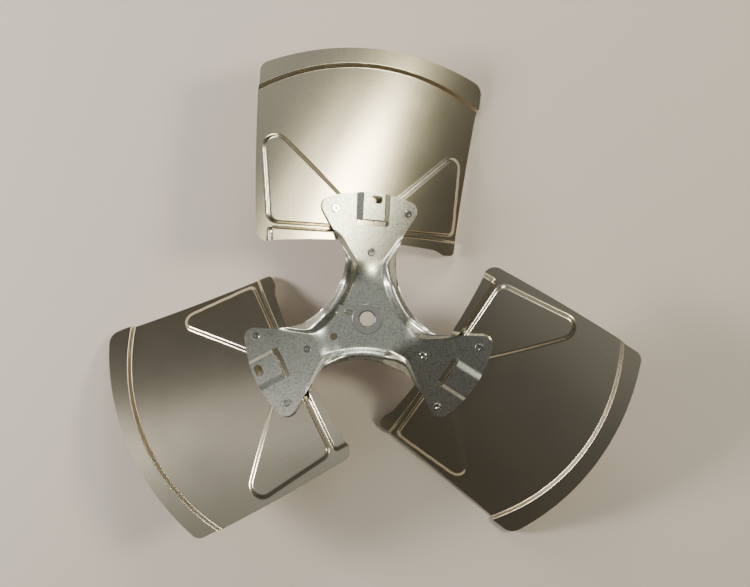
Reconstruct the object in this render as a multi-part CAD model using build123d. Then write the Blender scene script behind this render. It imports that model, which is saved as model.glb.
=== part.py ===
from build123d import *
import math
import os

# A three-blade propeller fan, in millimetres.
# The origin is on the shaft axis, in the plane that the spider's hub plate sits in.
# +Z is the shaft axis, towards the side that the rivets are clinched on, and +Y runs along the first arm.
# A blade and its arm are drawn along +X, with +Y towards the high edge, and then turned into place.

# Whole fan
BLADE_COUNT = 3
FAN_DIAMETER = 457.2
FIRST_ARM_DEG = 90.0
PITCH_DEG = 27.0
PAD_RADIUS = 86.0

# Rolled curve of the blades: a cylinder whose axis is turned away from the arm within the pad's plane
CAMBER_RADIUS = 380.0
CAMBER_SKEW_DEG = 22.3

# Blade sheet and its pressed forms
BLADE_SHEET = 1.2
PANEL_RISE = 2.5
RIM_RISE = 3.5
PANEL_BEND = 1.5
RIM_BEND = 2.2

# Blade outline seen along the shaft: distances along the arm, and to the high (+) and low (-) side of it
INNER_EDGE = 65.4
INNER_EDGE_AT_CORNERS = 61.4
HIGH_CORNER_HALF = 80.5
LOW_CORNER_HALF = 56.0
LOBE_RADIUS = 9.6
LOBE_REACH = 1.0
LOW_CORNER_SHIFT = 0.6
HIGH_EDGE_AT_ROOT = 93.4
HIGH_EDGE_AT_RIM = 98.1
HIGH_EDGE_BOW = 0.9
LOW_EDGE_AT_ROOT = 73.4
LOW_EDGE_AT_RIM = 88.2
LOW_EDGE_BOW = 1.1
LOW_LIP = 3.2
LOW_LIP_LENGTH = 9.5
RIM_JOG_START = 185.0
RIM_JOG_LENGTH = 5.5
RIM_JOG_HIGH = 1.2
RIM_JOG_LOW = 2.6
LOW_TIP_FLARE = 1.6
HIGH_TIP_CORNER = 9.0
LOW_TIP_CORNER = 11.0
LOW_ROOT_CORNER = 4.0

# Tip band: its step is an arc whose centre lies out along the arm
RIM_STEP_RADIUS = 177.4
RIM_STEP_CENTRE = (36.5, 3.7)

# Raised panels and strip, in the pad's own plane
STRIP_EDGE = 72.1
STRIP_EDGE_AT_LOW_END = 68.9
STRIP_END = 88.0
STRIP_STRAIGHT_END = -20.0
STRIP_LOW_END = -114.4
STRIP_CORNER = 3.0
PANEL_INNER_EDGE = 76.5
PANEL_GAP_HIGH = 7.0
PANEL_GAP_LOW = -1.0
HIGH_PANEL_APEX = (162.4, 94.9)
HIGH_PANEL_DIAGONAL_DEG = 47.7
HIGH_PANEL_ROOT = 88.8
HIGH_PANEL_CORNERS = (10.0, 8.0)
LOW_PANEL_APEX = (153.0, -87.6)
LOW_PANEL_DIAGONAL_DEG = -50.7
LOW_PANEL_ROOT = -86.0
LOW_PANEL_CORNERS = (8.5, 5.0)
PANEL_GAP_CORNER = 2.5
PANELS_END = 167.4

# Tab that runs under the arm to the inner rivet
TAB_WIDTH = 23.0
TAB_END = 51.4
TAB_CORNER = 5.0

# Spider plate
SPIDER_SHEET = 2.3
HOLLOW_CENTRE = 102.7
HOLLOW_RADIUS = 68.0
TWIST_START = 28.0
TWIST_END = 50.5
PAD_OUTER_RADIUS = 106.5
HIGH_WAIST = (54.6, 19.7)
LOW_WAIST = (57.0, -23.0)
LOW_SIDE_BEND = (72.5, -28.0)
HIGH_PAD_CORNER = (96.6, 44.9)
LOW_PAD_CORNER = (97.6, -42.7)
HIGH_PAD_ROUND = 9.3
LOW_PAD_ROUND = 8.5
LOW_SIDE_ROUND = 20.0
WAIST_ROUND = 9.0
TWIST_SECTIONS = (0.0, 0.1, 0.35, 0.65, 0.9)

# Rounded bead along each hollow edge
BEAD_RADIUS = 5.8
BEAD_RISE = 3.8
BEAD_INSET = 6.0
BEAD_HALF_LENGTH = 46.0
BEAD_TURN_START = 33.0
BEAD_RUN_OUT = 11.0
BEAD_DROP = 2.2
BEAD_STEPS = 10

# Lanced bridge on each pad
BRIDGE_BASE = 30.0
BRIDGE_TOP = 21.0
BRIDGE_RISE = 3.0
BRIDGE_ROOT = 2.0
BRIDGE_START = 83.5
BRIDGE_SLOT_WIDTH = 29.4
BRIDGE_SLOT_LENGTH = 5.2
BRIDGE_SLOT_CORNER = 2.0
OBLONG_RADIUS = 100.6
OBLONG_OFFSET = -1.5
OBLONG_LENGTH = 11.6
OBLONG_WIDTH = 6.6
OBLONG_ARMS = (0, 1)

# Pilot hole in the second arm
PILOT_RADIUS = 31.6
PILOT_DIAMETER = 6.2
PILOT_ARM = 1

# Rivets: two across the outer end of each pad and one at the inner end
RIVET_SHANK = 4.8
OUTER_RIVET_RADIUS = 91.0
OUTER_RIVET_OFFSET = 34.2
INNER_RIVET_RADIUS = 56.4
RIVET_HEAD_DIAMETER = 9.5
RIVET_HEAD_HEIGHT = 2.4
RIVET_CLINCH_DIAMETER = 7.2
RIVET_CLINCH_HEIGHT = 1.0
RIVET_DIMPLE_DIAMETER = 3.2
RIVET_DIMPLE_DEPTH = 0.9
RIVET_SEAT_GAP = 0.04

# Hub
BORE_DIAMETER = 12.7
BORE_CHAMFER = 1.1
HUB_BARREL_DIAMETER = 28.6
HUB_BARREL_LENGTH = 25.4
HUB_BARREL_CHAMFER = 1.0
HUB_NECK_DIAMETER = 21.0
HUB_RING_DIAMETER = 25.6
HUB_RING_HEIGHT = 1.2
HUB_RING_CHAMFER = 0.5

# Set screw and the slot and channel that clear it
SCREW_DIRECTION_DEG = 71.5
SCREW_DIAMETER = 6.35
SCREW_DROP = 4.2
SCREW_END_RADIUS = 20.2
SCREW_TIP_GAP = 0.3
SCREW_CHAMFER = 0.6
SOCKET_ACROSS_FLATS = 3.175
SOCKET_DEPTH = 3.6
SCREW_SLOT_WIDTH = 4.8
SCREW_SLOT_END = 20.7
CHANNEL_WIDTH = 8.0
CHANNEL_END = 27.0

# Working bodies, larger than what is cut from them
# Those under a sheet's lower face are deeper and wider, so that the two share no side
REACH = 400.0
DEPTH = 60.0
WORK_MARGIN = 10.0
BLADE_WORK_WIDTH = 260.0
ARM_WORK_HALF_WIDTH = 55.0
SIDE_MARGIN = 0.5
SKIN_TOLERANCE = 0.02
RISING = (Align.CENTER, Align.CENTER, Align.MIN)


def arm_angle(index):
    """Direction of an arm, in degrees from +X."""
    return FIRST_ARM_DEG + index * 360.0 / BLADE_COUNT


def on_arm(shape, index):
    """Turn a shape drawn along +X to lie along one arm."""
    return Rot(0, 0, arm_angle(index)) * shape


def pad_plane(lift=0.0):
    """The pad's plane: X along the arm from the shaft, Y up the pitch, Z square to the sheet."""
    pitch = math.radians(PITCH_DEG)
    normal = Vector(0, -math.sin(pitch), math.cos(pitch))
    return Plane(origin=normal * lift, x_dir=(1, 0, 0), z_dir=normal)


def camber_axis():
    """A point on the rolling cylinder's axis, and the axis direction."""
    plane = pad_plane()
    skew = math.radians(CAMBER_SKEW_DEG)
    direction = plane.x_dir * math.cos(skew) - plane.y_dir * math.sin(skew)
    point = plane.from_local_coords(Vector(PAD_RADIUS, 0, -CAMBER_RADIUS))
    return point, direction


def under_skin(lift):
    """Everything under the rolled skin that lies a given height above the pads' seat."""
    point, direction = camber_axis()
    plane = Plane(origin=point, x_dir=pad_plane().z_dir * -1, z_dir=direction)
    return plane * Cylinder(CAMBER_RADIUS + lift, 2 * REACH)


def skin_radius(position):
    """Distance of a point from the rolling cylinder's axis."""
    point, direction = camber_axis()
    offset = position - point
    return (offset - direction * offset.dot(direction)).length


def skin_height(lift, along, across):
    """Height of the rolled skin over a point of the plan."""
    point, direction = camber_axis()
    foot = Vector(along, across, 0) - point
    flat_foot = foot - direction * foot.dot(direction)
    up = Vector(0, 0, 1)
    flat_up = up - direction * up.dot(direction)
    a = flat_up.dot(flat_up)
    b = flat_up.dot(flat_foot)
    c = flat_foot.dot(flat_foot) - (CAMBER_RADIUS + lift) ** 2
    return (-b + math.sqrt(b * b - a * c)) / a


def skin_plane(along, up_pitch, lift):
    """Plane that touches the rolled skin over one point of the pad's plane, with Z square to the skin."""
    plane = pad_plane()
    point, direction = camber_axis()
    start = plane.from_local_coords(Vector(along, up_pitch, 0))
    offset = start - point
    outward = (offset - direction * offset.dot(direction)).normalized()
    foot = point + direction * offset.dot(direction)
    return Plane(origin=foot + outward * (CAMBER_RADIUS + lift), x_dir=direction, z_dir=outward)


def plan_prism(sketch):
    """A sketch seen along the shaft, made into a tall prism."""
    return extrude(Plane.XY.offset(-2 * DEPTH) * sketch, 4 * DEPTH)


def pad_prism(sketch):
    """A sketch in the pad's plane, made into a tall prism square to it."""
    return extrude(pad_plane(-DEPTH) * sketch, 2 * DEPTH)


def blade_outline():
    """The blade's edge, seen along the shaft."""
    tip = FAN_DIAMETER / 2
    high_rim = HIGH_EDGE_AT_RIM - RIM_JOG_HIGH
    low_rim = LOW_EDGE_AT_RIM + RIM_JOG_LOW
    jog_end = RIM_JOG_START + RIM_JOG_LENGTH
    lobe_centre = (INNER_EDGE_AT_CORNERS + LOBE_RADIUS - LOBE_REACH, HIGH_EDGE_AT_ROOT - LOBE_RADIUS)
    lobe_start = (lobe_centre[0] - LOBE_RADIUS, lobe_centre[1])
    lobe_middle = (lobe_centre[0] - LOBE_RADIUS * math.sqrt(0.5), lobe_centre[1] + LOBE_RADIUS * math.sqrt(0.5))
    lobe_end = (lobe_centre[0], HIGH_EDGE_AT_ROOT)
    high_strip_end = (INNER_EDGE_AT_CORNERS, HIGH_CORNER_HALF)
    low_strip_end = (INNER_EDGE_AT_CORNERS + LOW_CORNER_SHIFT, -LOW_CORNER_HALF)
    high_edge_end = (RIM_JOG_START, HIGH_EDGE_AT_RIM)
    high_rim_start = (jog_end, high_rim)
    high_tip = (math.sqrt(tip ** 2 - high_rim ** 2), high_rim)
    low_tip_side = low_rim + LOW_TIP_FLARE
    low_tip = (math.sqrt(tip ** 2 - low_tip_side ** 2), -low_tip_side)
    low_rim_start = (jog_end, -low_rim)
    low_edge_end = (RIM_JOG_START, -LOW_EDGE_AT_RIM)
    low_root = (INNER_EDGE_AT_CORNERS - LOW_LIP, -LOW_EDGE_AT_ROOT)
    low_lip = (INNER_EDGE_AT_CORNERS - LOW_LIP, -LOW_EDGE_AT_ROOT + LOW_LIP_LENGTH)
    high_middle = ((lobe_end[0] + RIM_JOG_START) / 2, (HIGH_EDGE_AT_ROOT + HIGH_EDGE_AT_RIM) / 2 + HIGH_EDGE_BOW)
    low_middle = ((low_root[0] + RIM_JOG_START) / 2, -(LOW_EDGE_AT_ROOT + LOW_EDGE_AT_RIM) / 2 + LOW_EDGE_BOW)
    with BuildSketch() as outline:
        with BuildLine():
            ThreePointArc(low_strip_end, (INNER_EDGE, 0), high_strip_end)
            Line(high_strip_end, lobe_start)
            ThreePointArc(lobe_start, lobe_middle, lobe_end)
            ThreePointArc(lobe_end, high_middle, high_edge_end)
            Line(high_edge_end, high_rim_start)
            Line(high_rim_start, high_tip)
            ThreePointArc(high_tip, (tip, 0), low_tip)
            Line(low_tip, low_rim_start)
            Line(low_rim_start, low_edge_end)
            ThreePointArc(low_edge_end, low_middle, low_root)
            Line(low_root, low_lip)
            Line(low_lip, low_strip_end)
        make_face()
        rounds = [(high_tip, HIGH_TIP_CORNER), (low_tip, LOW_TIP_CORNER), (low_root, LOW_ROOT_CORNER),
                  (low_lip, LOW_ROOT_CORNER)]
        for corner, radius in rounds:
            fillet(nearest(outline.vertices(), corner), radius)
    return outline.sketch + tab_outline()


def nearest(vertices, target):
    """The vertex of a flat outline that lies nearest to a point."""
    spot = Vector(target[0], target[1], 0)
    return min(vertices, key=lambda vertex: (Vector(vertex.X, vertex.Y, 0) - spot).length)


def tab_outline():
    """The tab under the arm, which the inner rivet holds."""
    length = INNER_EDGE + TAB_CORNER - TAB_END
    tab = Pos(TAB_END + length / 2, 0) * Rectangle(length, TAB_WIDTH)
    ends = tab.vertices().sort_by(Axis.X)[:2]
    return fillet(ends, TAB_CORNER)


def high_panel(inset):
    """The raised panel on the high side of the pad."""
    slope = math.tan(math.radians(HIGH_PANEL_DIAGONAL_DEG))
    apex = HIGH_PANEL_APEX
    inner = (apex[0] - (apex[1] - PANEL_GAP_HIGH) / slope, PANEL_GAP_HIGH)
    corner = (PANEL_INNER_EDGE, PANEL_GAP_HIGH)
    root = (PANEL_INNER_EDGE, HIGH_PANEL_ROOT)
    return rounded_panel([corner, inner, apex, root], HIGH_PANEL_CORNERS, inset)


def low_panel(inset):
    """The raised panel on the low side of the pad."""
    slope = math.tan(math.radians(LOW_PANEL_DIAGONAL_DEG))
    apex = LOW_PANEL_APEX
    inner = (apex[0] - (apex[1] - PANEL_GAP_LOW) / slope, PANEL_GAP_LOW)
    corner = (PANEL_INNER_EDGE, PANEL_GAP_LOW)
    root = (PANEL_INNER_EDGE, LOW_PANEL_ROOT)
    return rounded_panel([corner, inner, apex, root], LOW_PANEL_CORNERS, inset)


def rounded_panel(points, corner_radii, inset):
    """A four-cornered panel: small rounds at the first two corners, given ones at the others."""
    panel = make_face(Polyline(*points, close=True))
    radii = (PANEL_GAP_CORNER, PANEL_GAP_CORNER) + corner_radii
    for point, radius in zip(points, radii):
        panel = fillet(nearest(panel.vertices(), point), radius)
    if inset > 0:
        panel = offset(panel, -inset)
    return panel


def strip(inset):
    """The raised strip along the inner edge, open at its low end and under the tab."""
    inner = TAB_END - WORK_MARGIN
    start = (STRIP_EDGE - inset, STRIP_END - inset)
    bend = (STRIP_EDGE - inset, STRIP_STRAIGHT_END)
    low = (STRIP_EDGE_AT_LOW_END - inset, STRIP_LOW_END)
    with BuildSketch() as sketch:
        with BuildLine():
            Line((inner, start[1]), start)
            Line(start, bend)
            TangentArc(bend, low, tangent=(0, -1))
            Line(low, (inner, low[1]))
            Line((inner, low[1]), (inner, start[1]))
        make_face()
        fillet(nearest(sketch.vertices(), start), STRIP_CORNER - inset)
    return sketch.sketch


def rim_zone(inset):
    """Everything outside the tip band's step."""
    ring = Circle(REACH) - Circle(RIM_STEP_RADIUS + inset)
    return Pos(*RIM_STEP_CENTRE) * ring


def blade_block(depth):
    """The space that a blade's sheet is worked in, down to a given depth."""
    start = TAB_END - WORK_MARGIN
    length = FAN_DIAMETER / 2 + 2 * WORK_MARGIN - start
    low_side = (Align.MIN, Align.CENTER, Align.MIN)
    return pad_plane(-depth) * Pos(start, 0, 0) * Box(length, BLADE_WORK_WIDTH, 1.5 * depth, align=low_side)


def edges_on_skin(body, block, radius):
    """Edges of the pressed steps that lie on one rolled skin, apart from those on the block's own sides."""
    plane = pad_plane()
    sides = (plane.location.inverse() * block).bounding_box()
    chosen = []
    for edge in body.edges():
        middle = edge @ 0.5
        local = plane.to_local_coords(middle)
        inside = sides.min.X + SIDE_MARGIN < local.X < sides.max.X - SIDE_MARGIN
        inside = inside and abs(local.Y) < sides.max.Y - SIDE_MARGIN
        if inside and abs(skin_radius(middle) - radius) < SKIN_TOLERANCE:
            chosen.append(edge)
    return chosen


def pressed_body(drop, inset):
    """Everything under one face of the blade's sheet, with the pressed steps."""
    block = blade_block(DEPTH + 5 * drop)
    seat_body = under_skin(-drop) & block
    body = under_skin(-PANEL_RISE - drop) & block
    for sketch in (high_panel(inset), low_panel(inset), strip(inset)):
        body = body + (seat_body & pad_prism(sketch))
    body = body + (under_skin(RIM_RISE - PANEL_RISE - drop) & block & plan_prism(rim_zone(inset)))
    return body.solid(), block


def upper_body():
    """The space under the blade's upper face, with its bends rounded along the crests of the steps."""
    body, block = pressed_body(0.0, 0.0)
    body = body.fillet(PANEL_BEND, edges_on_skin(body, block, CAMBER_RADIUS))
    return body.fillet(RIM_BEND, edges_on_skin(body, block, CAMBER_RADIUS + RIM_RISE - PANEL_RISE))


def lower_body():
    """The space under the blade's lower face, with its bends rounded along the roots of the steps."""
    body, block = pressed_body(BLADE_SHEET, BLADE_SHEET)
    for far, bend in ((False, PANEL_BEND), (True, RIM_BEND)):
        roots = edges_on_skin(body, block, CAMBER_RADIUS - PANEL_RISE - BLADE_SHEET)
        body = body.fillet(bend, [edge for edge in roots if beyond_panels(edge) == far])
    return body


def beyond_panels(edge):
    """Whether an edge lies further out than the panels, in the tip band's step."""
    return (edge @ 0.5).X > PANELS_END


def rivet_places():
    """Where the rivets stand, along the arm and up the pitch in the pad's plane."""
    return [(OUTER_RIVET_RADIUS, OUTER_RIVET_OFFSET), (OUTER_RIVET_RADIUS, -OUTER_RIVET_OFFSET),
            (INNER_RIVET_RADIUS, 0.0)]


def rivet_holes():
    """Holes for the three rivets of one pad."""
    holes = []
    for along, up_pitch in rivet_places():
        holes.append(skin_plane(along, up_pitch, 0) * Cylinder(RIVET_SHANK / 2, 4 * RIVET_HEAD_DIAMETER))
    return holes


def blade():
    """One blade, drawn along +X."""
    sheet = (upper_body() & plan_prism(blade_outline())) - lower_body()
    for hole in rivet_holes():
        sheet = sheet - hole
    return sheet.solid()


def rivet(along, up_pitch):
    """One rivet: domed head under the blade, shank through both sheets, clinched ring on the pad."""
    seat = skin_plane(along, up_pitch, 0)
    grip_low = -BLADE_SHEET - RIVET_SEAT_GAP
    grip_high = SPIDER_SHEET + RIVET_SEAT_GAP
    head_half = RIVET_HEAD_DIAMETER / 2
    clinch_half = RIVET_CLINCH_DIAMETER / 2
    dimple_half = RIVET_DIMPLE_DIAMETER / 2
    shank_half = RIVET_SHANK / 2
    crown = grip_high + RIVET_CLINCH_HEIGHT
    dome = (head_half ** 2 + RIVET_HEAD_HEIGHT ** 2) / (2 * RIVET_HEAD_HEIGHT)
    dome_centre = grip_low - RIVET_HEAD_HEIGHT + dome
    half_sweep = math.asin(head_half / dome) / 2
    dome_middle = (dome * math.sin(half_sweep), dome_centre - dome * math.cos(half_sweep))
    with BuildSketch(Plane.XZ) as profile:
        with BuildLine():
            Polyline((0, grip_low - RIVET_HEAD_HEIGHT), (0, crown - RIVET_DIMPLE_DEPTH),
                     (dimple_half / 2, crown - RIVET_DIMPLE_DEPTH), (dimple_half, crown),
                     (clinch_half - RIVET_CLINCH_HEIGHT / 2, crown),
                     (clinch_half, crown - RIVET_CLINCH_HEIGHT / 2), (clinch_half, grip_high),
                     (shank_half, grip_high), (shank_half, grip_low), (head_half, grip_low))
            ThreePointArc((head_half, grip_low), dome_middle, (0, grip_low - RIVET_HEAD_HEIGHT))
        make_face()
    return seat * revolve(profile.sketch, Axis.Z)


def blade_rivets():
    """The three rivets of one blade, drawn along +X."""
    return [rivet(along, up_pitch) for along, up_pitch in rivet_places()]


def arm_share(along):
    """How far the arm has turned from the hub plate to the pad, from 0 to 1."""
    ratio = min(max((along - TWIST_START) / (TWIST_END - TWIST_START), 0.0), 1.0)
    return ratio * ratio * (3.0 - 2.0 * ratio)


def arm_height(lift, along, across):
    """Height of the arm's sheet over a point of the plan, in the arm's own frame."""
    share = arm_share(along)
    reach = max(along, TWIST_END)
    return share * skin_height(lift, reach, across) + (1.0 - share) * lift


def arm_section(lift, along, half_width, depth):
    """A section square to the arm, filled down from the sheet's face."""
    left = (along, -half_width, arm_height(lift, along, -half_width))
    middle = (along, 0, arm_height(lift, along, 0))
    right = (along, half_width, arm_height(lift, along, half_width))
    if arm_share(along) > 0:
        top = ThreePointArc(left, middle, right)
    else:
        top = Line(left, right)
    low_right = (along, half_width, -depth)
    low_left = (along, -half_width, -depth)
    return make_face([top, Line(right, low_right), Line(low_right, low_left), Line(low_left, left)])


def arm_body(lift, depth):
    """Everything under one face of an arm and its pad, from the hub plate outwards."""
    half_width = ARM_WORK_HALF_WIDTH + 0.05 * depth
    pad_length = PAD_OUTER_RADIUS + WORK_MARGIN - TWIST_END
    pad_block = Pos(TWIST_END + pad_length / 2, 0, 0) * Box(pad_length, 2 * half_width, 2 * depth)
    pad = under_skin(lift) & pad_block
    pad_end = pad.faces().sort_by(Axis.X)[0]
    sections = []
    for share in TWIST_SECTIONS:
        along = TWIST_START + (TWIST_END - TWIST_START) * share
        sections.append(arm_section(lift, along, half_width, depth))
    return pad + loft(sections + [pad_end])


def bridge_body(lift):
    """The raised bridge on a pad, as the space under one face of its sheet."""
    run = (BRIDGE_BASE - BRIDGE_TOP) / 2
    half_foot = BRIDGE_BASE / 2 + BRIDGE_ROOT * run / BRIDGE_RISE
    half_top = BRIDGE_TOP / 2
    foot = lift - BRIDGE_ROOT
    crest = lift + BRIDGE_RISE
    profile = Polyline((half_foot, foot), (half_top, crest), (-half_top, crest), (-half_foot, foot), close=True)
    pad = pad_plane()
    end = Plane(origin=pad.from_local_coords(Vector(BRIDGE_START, 0, 0)), x_dir=pad.y_dir, z_dir=pad.x_dir)
    return extrude(end * make_face(profile), PAD_OUTER_RADIUS + WORK_MARGIN - BRIDGE_START)


def bead_point(index, across):
    """A point on the centre line of the bead between two arms, which runs out through the edge at its ends."""
    ratio = (abs(across) - BEAD_TURN_START) / (BEAD_HALF_LENGTH - BEAD_TURN_START)
    ratio = min(max(ratio, 0.0), 1.0)
    fade = ratio * ratio * (3.0 - 2.0 * ratio)
    centre_radius = HOLLOW_RADIUS + BEAD_INSET - fade * BEAD_RUN_OUT
    outward = HOLLOW_CENTRE - math.sqrt(centre_radius ** 2 - across ** 2)
    half_turn = 180.0 / BLADE_COUNT
    direction = half_turn + math.degrees(math.atan2(across, outward))
    if across > 0:
        direction = direction - 2 * half_turn
    radius = math.hypot(outward, across)
    along = radius * math.cos(math.radians(direction))
    side = radius * math.sin(math.radians(direction))
    height = arm_height(0.0, along, side) + SPIDER_SHEET + BEAD_RISE - fade * BEAD_DROP - BEAD_RADIUS
    turn = math.radians(arm_angle(index + 1 if across > 0 else index))
    x = along * math.cos(turn) - side * math.sin(turn)
    y = along * math.sin(turn) + side * math.cos(turn)
    return Vector(x, y, height)


def bead_body(index, radius):
    """A round bar along one hollow edge, which lifts the sheet into a bead."""
    steps = [BEAD_HALF_LENGTH * (2.0 * step / BEAD_STEPS - 1.0) for step in range(BEAD_STEPS + 1)]
    path = Spline(*[bead_point(index, across) for across in steps])
    start = Plane(origin=path @ 0, z_dir=path % 0)
    return sweep(start * Circle(radius), path=path)


def sector_body(lift, bead_radius, depth):
    """Everything under one face of the spider's sheet round one arm, drawn along +X."""
    hub_plate = RegularPolygon(2 * TWIST_START, BLADE_COUNT, rotation=180.0)
    body = extrude(Plane.XY.offset(-depth) * hub_plate, depth + lift)
    body = body + arm_body(lift, depth)
    for index in (0, BLADE_COUNT - 1):
        body = body + Rot(0, 0, -FIRST_ARM_DEG) * bead_body(index, bead_radius)
    return body + bridge_body(lift)


def sector_prism():
    """The share of the plan that belongs to one arm."""
    half_turn = 180.0 / BLADE_COUNT
    corners = [(0, 0), polar(REACH, -half_turn), (2 * REACH, 0), polar(REACH, half_turn)]
    return plan_prism(make_face(Polyline(*corners, close=True)))


def sector():
    """The spider's sheet round one arm, drawn along +X."""
    outline = Rot(0, 0, -FIRST_ARM_DEG) * plan_prism(spider_outline()) & sector_prism()
    upper = sector_body(SPIDER_SHEET, BEAD_RADIUS, DEPTH)
    lower = sector_body(0.0, BEAD_RADIUS - SPIDER_SHEET, DEPTH + WORK_MARGIN)
    sheet = (upper & outline) - lower
    sheet = sheet - pad_prism(bridge_slot())
    for hole in rivet_holes():
        sheet = sheet - hole
    return sheet


def spider_outline():
    """The spider's edge, seen along the shaft."""
    half_turn = 180.0 / BLADE_COUNT
    with BuildSketch() as outline:
        with BuildLine():
            for index in range(BLADE_COUNT):
                turn = arm_angle(index)
                low_waist = turned(LOW_WAIST, turn)
                low_side = turned(LOW_SIDE_BEND, turn)
                low_corner = turned(LOW_PAD_CORNER, turn)
                pad_end = turned((PAD_OUTER_RADIUS, 0), turn)
                high_corner = turned(HIGH_PAD_CORNER, turn)
                high_waist = turned(HIGH_WAIST, turn)
                hollow = polar(HOLLOW_CENTRE - HOLLOW_RADIUS, turn + half_turn)
                next_waist = turned(LOW_WAIST, turn + 2 * half_turn)
                Line(low_waist, low_side)
                Line(low_side, low_corner)
                ThreePointArc(low_corner, pad_end, high_corner)
                Line(high_corner, high_waist)
                ThreePointArc(high_waist, hollow, next_waist)
        make_face()
        for index in range(BLADE_COUNT):
            turn = arm_angle(index)
            fillet(nearest(outline.vertices(), turned(LOW_PAD_CORNER, turn)), LOW_PAD_ROUND)
            fillet(nearest(outline.vertices(), turned(HIGH_PAD_CORNER, turn)), HIGH_PAD_ROUND)
            fillet(nearest(outline.vertices(), turned(LOW_SIDE_BEND, turn)), LOW_SIDE_ROUND)
            fillet(nearest(outline.vertices(), turned(LOW_WAIST, turn)), WAIST_ROUND)
            fillet(nearest(outline.vertices(), turned(HIGH_WAIST, turn)), WAIST_ROUND)
    return outline.sketch


def turned(point, degrees):
    """A plan point of an arm, turned about the shaft."""
    radius = math.hypot(point[0], point[1])
    return polar(radius, degrees + math.degrees(math.atan2(point[1], point[0])))


def polar(radius, degrees):
    """A plan point from its distance and direction."""
    return (radius * math.cos(math.radians(degrees)), radius * math.sin(math.radians(degrees)))


def bridge_slot():
    """The slot at the bridge's inner end, in the pad's plane."""
    slot = Rectangle(BRIDGE_SLOT_LENGTH, BRIDGE_SLOT_WIDTH)
    inner = slot.vertices().sort_by(Axis.X)[:2]
    slot = fillet(inner, BRIDGE_SLOT_CORNER)
    return Pos(BRIDGE_START - BRIDGE_SLOT_LENGTH / 2, 0) * slot


def oblong_hole():
    """The oblong hole through a bridge, in the pad's plane."""
    return Pos(OBLONG_RADIUS, OBLONG_OFFSET) * Rot(0, 0, 90) * SlotOverall(OBLONG_LENGTH, OBLONG_WIDTH)


def screw_direction():
    """Direction of the set screw, in degrees from +X."""
    return FIRST_ARM_DEG + SCREW_DIRECTION_DEG


def screw_channel(bottom, top):
    """The channel that opens the bead's inner side in line with the set screw."""
    start = HUB_RING_DIAMETER / 2
    length = CHANNEL_END - start
    place = Rot(0, 0, screw_direction()) * Pos(start + length / 2, 0, (bottom + top) / 2)
    return place * Box(length, CHANNEL_WIDTH, top - bottom)


def screw_slot():
    """The slot through the hub plate over the set screw."""
    slot_end = SCREW_SLOT_END - SCREW_SLOT_WIDTH / 2
    slot = Pos(slot_end / 2, 0, 0) * Box(slot_end, SCREW_SLOT_WIDTH, DEPTH)
    slot = slot + Pos(slot_end, 0, 0) * Cylinder(SCREW_SLOT_WIDTH / 2, DEPTH)
    return Rot(0, 0, screw_direction()) * slot


def spider():
    """The stamped spider plate."""
    one_sector = sector()
    plate = on_arm(one_sector, 0)
    for index in range(1, BLADE_COUNT):
        plate = plate + on_arm(one_sector, index)
    plate = plate - screw_channel(SPIDER_SHEET, SPIDER_SHEET + DEPTH)
    plate = plate + screw_channel(0.0, SPIDER_SHEET)
    plate = plate - screw_slot()
    plate = plate - Cylinder(HUB_NECK_DIAMETER / 2, DEPTH)
    pilot = Pos(PILOT_RADIUS, 0, 0) * Cylinder(PILOT_DIAMETER / 2, DEPTH)
    plate = plate - on_arm(pilot, PILOT_ARM)
    for index in OBLONG_ARMS:
        plate = plate - on_arm(pad_prism(oblong_hole()), index)
    return plate.solid()


def hub():
    """The turned hub: barrel under the spider, neck through it and a staked ring on top."""
    bore = BORE_DIAMETER / 2
    top = SPIDER_SHEET + HUB_RING_HEIGHT
    bottom = -HUB_BARREL_LENGTH
    barrel = HUB_BARREL_DIAMETER / 2
    neck = HUB_NECK_DIAMETER / 2
    ring = HUB_RING_DIAMETER / 2
    points = [
        (bore + BORE_CHAMFER, bottom),
        (barrel - HUB_BARREL_CHAMFER, bottom),
        (barrel, bottom + HUB_BARREL_CHAMFER),
        (barrel, 0),
        (neck, 0),
        (neck, SPIDER_SHEET),
        (ring, SPIDER_SHEET),
        (ring, top - HUB_RING_CHAMFER),
        (ring - HUB_RING_CHAMFER, top),
        (bore + BORE_CHAMFER, top),
        (bore, top - BORE_CHAMFER),
        (bore, bottom + BORE_CHAMFER),
    ]
    profile = Plane.XZ * make_face(Polyline(*points, close=True))
    body = revolve(profile, Axis.Z)
    return (body - screw_place() * Cylinder(SCREW_DIAMETER / 2, REACH, align=RISING)).solid()


def screw_place():
    """The set screw's frame: origin on the shaft axis, Z outwards along the screw."""
    x, y = polar(1.0, screw_direction())
    return Plane(origin=(0, 0, -SCREW_DROP), x_dir=(0, 0, 1), z_dir=(x, y, 0))


def set_screw():
    """The socket set screw in the hub's side."""
    start = BORE_DIAMETER / 2 + SCREW_TIP_GAP
    length = SCREW_END_RADIUS - start
    body = Pos(0, 0, start) * Cylinder(SCREW_DIAMETER / 2, length, align=RISING)
    body = chamfer(body.edges().filter_by(GeomType.CIRCLE), SCREW_CHAMFER)
    socket = RegularPolygon(SOCKET_ACROSS_FLATS / math.sqrt(3), 6)
    body = body - extrude(Plane.XY.offset(SCREW_END_RADIUS - SOCKET_DEPTH) * socket, 2 * SOCKET_DEPTH)
    return screw_place() * body


def write_parts():
    """Build every piece and write one file for each."""
    os.makedirs("parts", exist_ok=True)
    pieces = {"spider": spider(), "hub": hub(), "set_screw": set_screw()}
    one_blade = blade()
    rivets = blade_rivets()
    for index in range(BLADE_COUNT):
        pieces[f"blade_{index + 1}"] = on_arm(one_blade, index)
        pieces[f"rivets_{index + 1}"] = Compound([on_arm(piece, index) for piece in rivets])
    for name, piece in pieces.items():
        piece.label = name
        export_step(piece, f"parts/{name}.step")
    return pieces


if __name__ == "__main__":
    write_parts()
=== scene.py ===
import bpy
import math
import numpy as np
from mathutils import Matrix, Vector


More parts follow.
